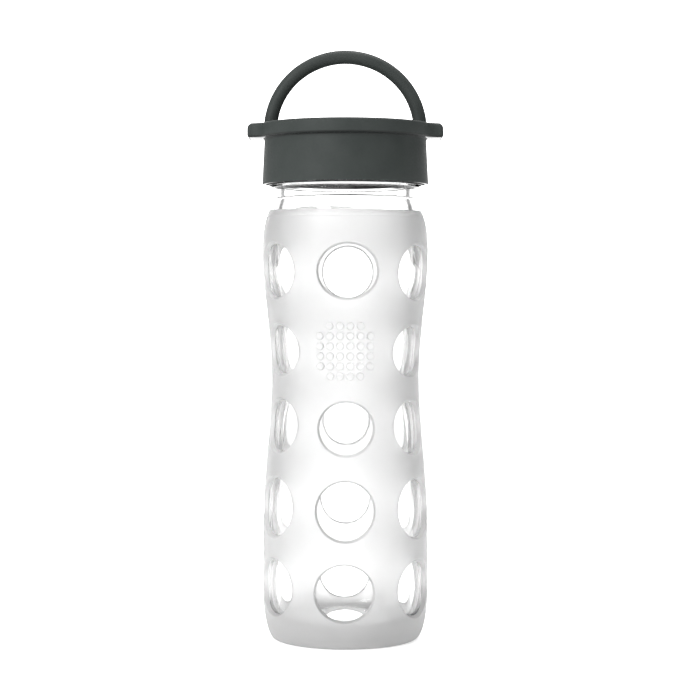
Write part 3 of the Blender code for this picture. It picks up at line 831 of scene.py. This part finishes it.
def glass_material():
    nodes = Nodes("clear_glass")
    nodes.set("Base Color", nodes.blend(nodes.noise(30), (0.985, 0.986, 0.985), (0.995, 0.996, 0.995)))
    nodes.set("Roughness", nodes.between(nodes.noise(120, detail=4), 0.0, 0.012))
    nodes.set("Transmission Weight", 1.0)
    nodes.set("IOR", 1.5)
    nodes.set("Normal", nodes.bump(nodes.noise(45, detail=1, stretch=(1, 1, 0.35)), 0.0002, 0.35))
    return nodes.material


def silicone_material():
    """Frosted silicone that lets less light through in the thick turned-in heel and at the windows' edges;
    painted shade darkens its colour in the heel and along the windows' edges and walls.
    """
    nodes = Nodes("frosted_silicone")
    height = nodes.add("SeparateXYZ", {"Vector": nodes.coords}).outputs["Z"]
    heel = nodes.between(height, 1, 0, 0.004, 0.02)
    clear = nodes.blend(nodes.noise(60, detail=4), (0.85, 0.85, 0.85), (0.87, 0.87, 0.87))
    edge = nodes.add("Attribute", attribute_name=WINDOW_EDGE_SHADE_AND_DENSITY).outputs["Fac"]
    # Painted shade: the colour is darker along the windows' edges and walls.
    shaded = nodes.add("MixRGB", {"Fac": edge, "Color1": clear, "Color2": (0.74, 0.74, 0.74, 1)})
    # Painted shade: the colour darkens towards the bottom of the heel.
    color = nodes.add("MixRGB", {"Fac": heel, "Color1": shaded.outputs[0], "Color2": (0.57, 0.57, 0.57, 1)})
    nodes.set("Base Color", color.outputs[0])
    nodes.set("Roughness", nodes.between(nodes.noise(900, detail=3), 0.46, 0.54))
    through = nodes.between(heel, 0.8, 0.5, 0, 1)
    edge_through = nodes.between(edge, 1, 0.7, 0, 1)
    nodes.set("Transmission Weight", nodes.combine("MULTIPLY", through, edge_through))
    nodes.set("IOR", 1.41)
    nodes.set("Normal", nodes.bump(nodes.noise(2600, detail=2), 0.00004, 0.3))
    return nodes.material


def seal_material():
    nodes = Nodes("seal_silicone")
    nodes.set("Base Color", nodes.blend(nodes.noise(300), (0.80, 0.80, 0.79), (0.87, 0.87, 0.86)))
    nodes.set("Roughness", nodes.between(nodes.noise(1500), 0.45, 0.6))
    nodes.set("Normal", nodes.bump(nodes.noise(2200), 0.00003, 0.4))
    return nodes.material


SLATE = (0.033, 0.039, 0.037)


def plastic_material(name, dark, light, underside_painted_shade=1):
    """Moulded polypropylene: fine spark-eroded grain and polished undersides, with painted shade darkening
    the colour of faces that point downwards.
    """
    nodes = Nodes(name)
    facing = nodes.add("NewGeometry").outputs["Normal"]
    down = nodes.add("SeparateXYZ", {"Vector": facing}).outputs["Z"]
    tint = nodes.blend(nodes.noise(90, detail=5), dark, light)
    # Painted shade: faces that point downwards get a darker colour.
    shade = nodes.between(down, underside_painted_shade, 1, -0.5, -0.1)
    shaded = nodes.add("VectorMath", {0: tint, "Scale": shade}, operation="SCALE")
    nodes.set("Base Color", shaded.outputs[0])
    under = nodes.between(down, 1, 0, -0.995, -0.93)
    grain = nodes.between(nodes.noise(1400, detail=4), 0.5, 0.66)
    roughness = nodes.add("Mix", {"Factor": under, "A": grain, "B": 0.08})
    nodes.set("Roughness", roughness.outputs[0])
    nodes.set("Specular IOR Level", 0.2)
    strength = nodes.between(under, 0.35, 0.02, 0, 1)
    nodes.set("Normal", nodes.bump(nodes.noise(3200, detail=3, roughness=0.6), 0.00005, strength))
    return nodes.material


# ---------------------------------------------------------------- stage, light and camera

STUDIO_FLOOR_RADIUS = 8
STUDIO_FLOOR_DROP = 0.2 * MM
GLOW_Y = 0.48                # the floor is brightest in a long patch behind the bottle
GLOW_HALF_LENGTH = 0.44
GLOW_HALF_WIDTH = 0.14
WORLD_LEFT = 0.35
WORLD_RIGHT = 0.32
WORLD_BACK = 2.75
WORLD_FRONT = 1.25
WORLD_FRONT_AIM = (-0.5, -0.866, 0)
WORLD_TOP = 0.9
CAMERA_PLACE = (0.0021, -0.863, 0.158)
CAMERA_LENS = 97.7
CAMERA_TILT = 1.8            # degrees below level


def make_floor():
    """A pale floor that glows behind the bottle and far back, and is dimmer beside and before it."""
    bm = bmesh.new()
    bmesh.ops.create_circle(bm, cap_ends=True, segments=64, radius=STUDIO_FLOOR_RADIUS)
    mesh = bpy.data.meshes.new("studio_floor")
    bm.to_mesh(mesh)
    bm.free()
    floor = bpy.data.objects.new("studio_floor", mesh)
    floor.location.z = -STUDIO_FLOOR_DROP
    bpy.context.scene.collection.objects.link(floor)
    nodes = Nodes("floor_white")
    nodes.set("Base Color", nodes.blend(nodes.noise(3), (0.86, 0.86, 0.86), (0.88, 0.88, 0.88)))
    nodes.set("Roughness", 0.8)
    nodes.set("Emission Color", (1, 1, 1, 1))
    spread = (1 / GLOW_HALF_WIDTH, 1 / GLOW_HALF_LENGTH, 1)
    shift = (0, -GLOW_Y / GLOW_HALF_LENGTH, 0)
    place = nodes.add("Mapping", {"Vector": nodes.coords, "Location": shift, "Scale": spread})
    glow = nodes.add("TexGradient", {"Vector": place.outputs[0]}, gradient_type="SPHERICAL")
    behind = nodes.between(glow.outputs["Fac"], 0, 1, 0, 0.2)
    axes = nodes.add("SeparateXYZ", {"Vector": nodes.coords})
    aside = nodes.add("Math", {0: axes.outputs["X"]}, operation="ABSOLUTE").outputs[0]
    middle = nodes.between(aside, 0.55, 0.1, 0.28, 0.8)
    not_front = nodes.between(axes.outputs["Y"], 0, 1, -0.45, -0.15)
    close = nodes.combine("MULTIPLY", middle, not_front)
    far = nodes.between(axes.outputs["Y"], 0, 0.9, 1, 2)
    plain = nodes.combine("MAXIMUM", close, far)
    nodes.set("Emission Strength", nodes.combine("ADD", behind, plain))
    mesh.materials.append(nodes.material)


def make_world():
    """Soft white light: brightest behind, then at the front left and above, and dark to the sides."""
    world = bpy.data.worlds.new("studio")
    bpy.context.scene.world = world
    world.use_nodes = True
    tree = world.node_tree
    background = tree.nodes["Background"]
    coords = tree.nodes.new("ShaderNodeTexCoord")
    axes = tree.nodes.new("ShaderNodeSeparateXYZ")
    tree.links.new(coords.outputs["Generated"], axes.inputs[0])

    def ramp(socket, low, high, to_low, to_high):
        node = tree.nodes.new("ShaderNodeMapRange")
        node.interpolation_type = "SMOOTHSTEP"
        node.inputs["From Min"].default_value = low
        node.inputs["From Max"].default_value = high
        node.inputs["To Min"].default_value = to_low
        node.inputs["To Max"].default_value = to_high
        tree.links.new(socket, node.inputs["Value"])
        return node.outputs[0]

    def brightest(first, second):
        node = tree.nodes.new("ShaderNodeMath")
        node.operation = "MAXIMUM"
        tree.links.new(first, node.inputs[0])
        tree.links.new(second, node.inputs[1])
        return node.outputs[0]

    sides = ramp(axes.outputs["X"], -1, 1, WORLD_LEFT, WORLD_RIGHT)
    behind = ramp(axes.outputs["Y"], 0.74, 0.93, 0, WORLD_BACK)
    aim = tree.nodes.new("ShaderNodeVectorMath")
    aim.operation = "DOT_PRODUCT"
    aim.inputs[1].default_value = WORLD_FRONT_AIM
    tree.links.new(coords.outputs["Generated"], aim.inputs[0])
    front = ramp(aim.outputs["Value"], 0.55, 0.95, 0, WORLD_FRONT)
    above = ramp(axes.outputs["Z"], 0.4, 0.95, 0, WORLD_TOP)
    level = brightest(brightest(behind, front), brightest(sides, above))
    tree.links.new(level, background.inputs["Strength"])
    background.inputs["Color"].default_value = (1, 1, 1, 1)


def add_softbox(name, location, target, size, power):
    """A round area light, aimed at target."""
    light = bpy.data.lights.new(name, "AREA")
    light.shape = "DISK"
    light.size = size
    light.energy = power
    lamp = bpy.data.objects.new(name, light)
    lamp.location = location
    direction = Vector(target) - Vector(location)
    lamp.rotation_euler = direction.to_track_quat("-Z", "Y").to_euler()
    bpy.context.scene.collection.objects.link(lamp)


def make_camera():
    camera_data = bpy.data.cameras.new("camera")
    camera = bpy.data.objects.new("camera", camera_data)
    camera_data.sensor_width = 36
    camera_data.lens = CAMERA_LENS
    camera_data.clip_start = 0.01
    camera.location = CAMERA_PLACE
    camera.rotation_euler = Euler((math.radians(90 - CAMERA_TILT), 0, 0))
    bpy.context.scene.collection.objects.link(camera)
    bpy.context.scene.camera = camera


# ---------------------------------------------------------------- assembly

def dress(obj, material, body, node):
    """Give a piece its material, its body and the CAD node it replaces."""
    obj.data.materials.clear()
    obj.data.materials.append(material)
    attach(obj, body)
    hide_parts(node)


dress(make_glass(), glass_material(), "bottle", "glass_bottle")
dress(make_sleeve(), silicone_material(), "bottle", "silicone_sleeve")
dress(make_seal(), seal_material(), "seal", "seal_ring")
insert_plastic = plastic_material("insert_plastic", (0.008, 0.0095, 0.009), (0.013, 0.0155, 0.015))
# The cap gets painted shade on its downward faces; the insert and loop get none.
cap_plastic = plastic_material("cap_plastic", SLATE, (0.040, 0.046, 0.044), underside_painted_shade=0.35)
loop_plastic = plastic_material("loop_plastic", SLATE, (0.042, 0.048, 0.046))
dress(make_insert(), insert_plastic, "cap", "thread_insert")
dress(make_shell(), cap_plastic, "cap", "cap_shell")
dress(make_loop(), loop_plastic, "loop", "carry_loop")

make_floor()
make_world()
add_softbox("key_light", (-0.9, -1.1, 0.8), (0, 0, 0.16), 0.7, 13)
add_softbox("top_light", (0.1, 0.2, 1.3), (0, 0, 0.1), 0.9, 10)
make_camera()

bpy.context.scene.view_settings.view_transform = "Standard"
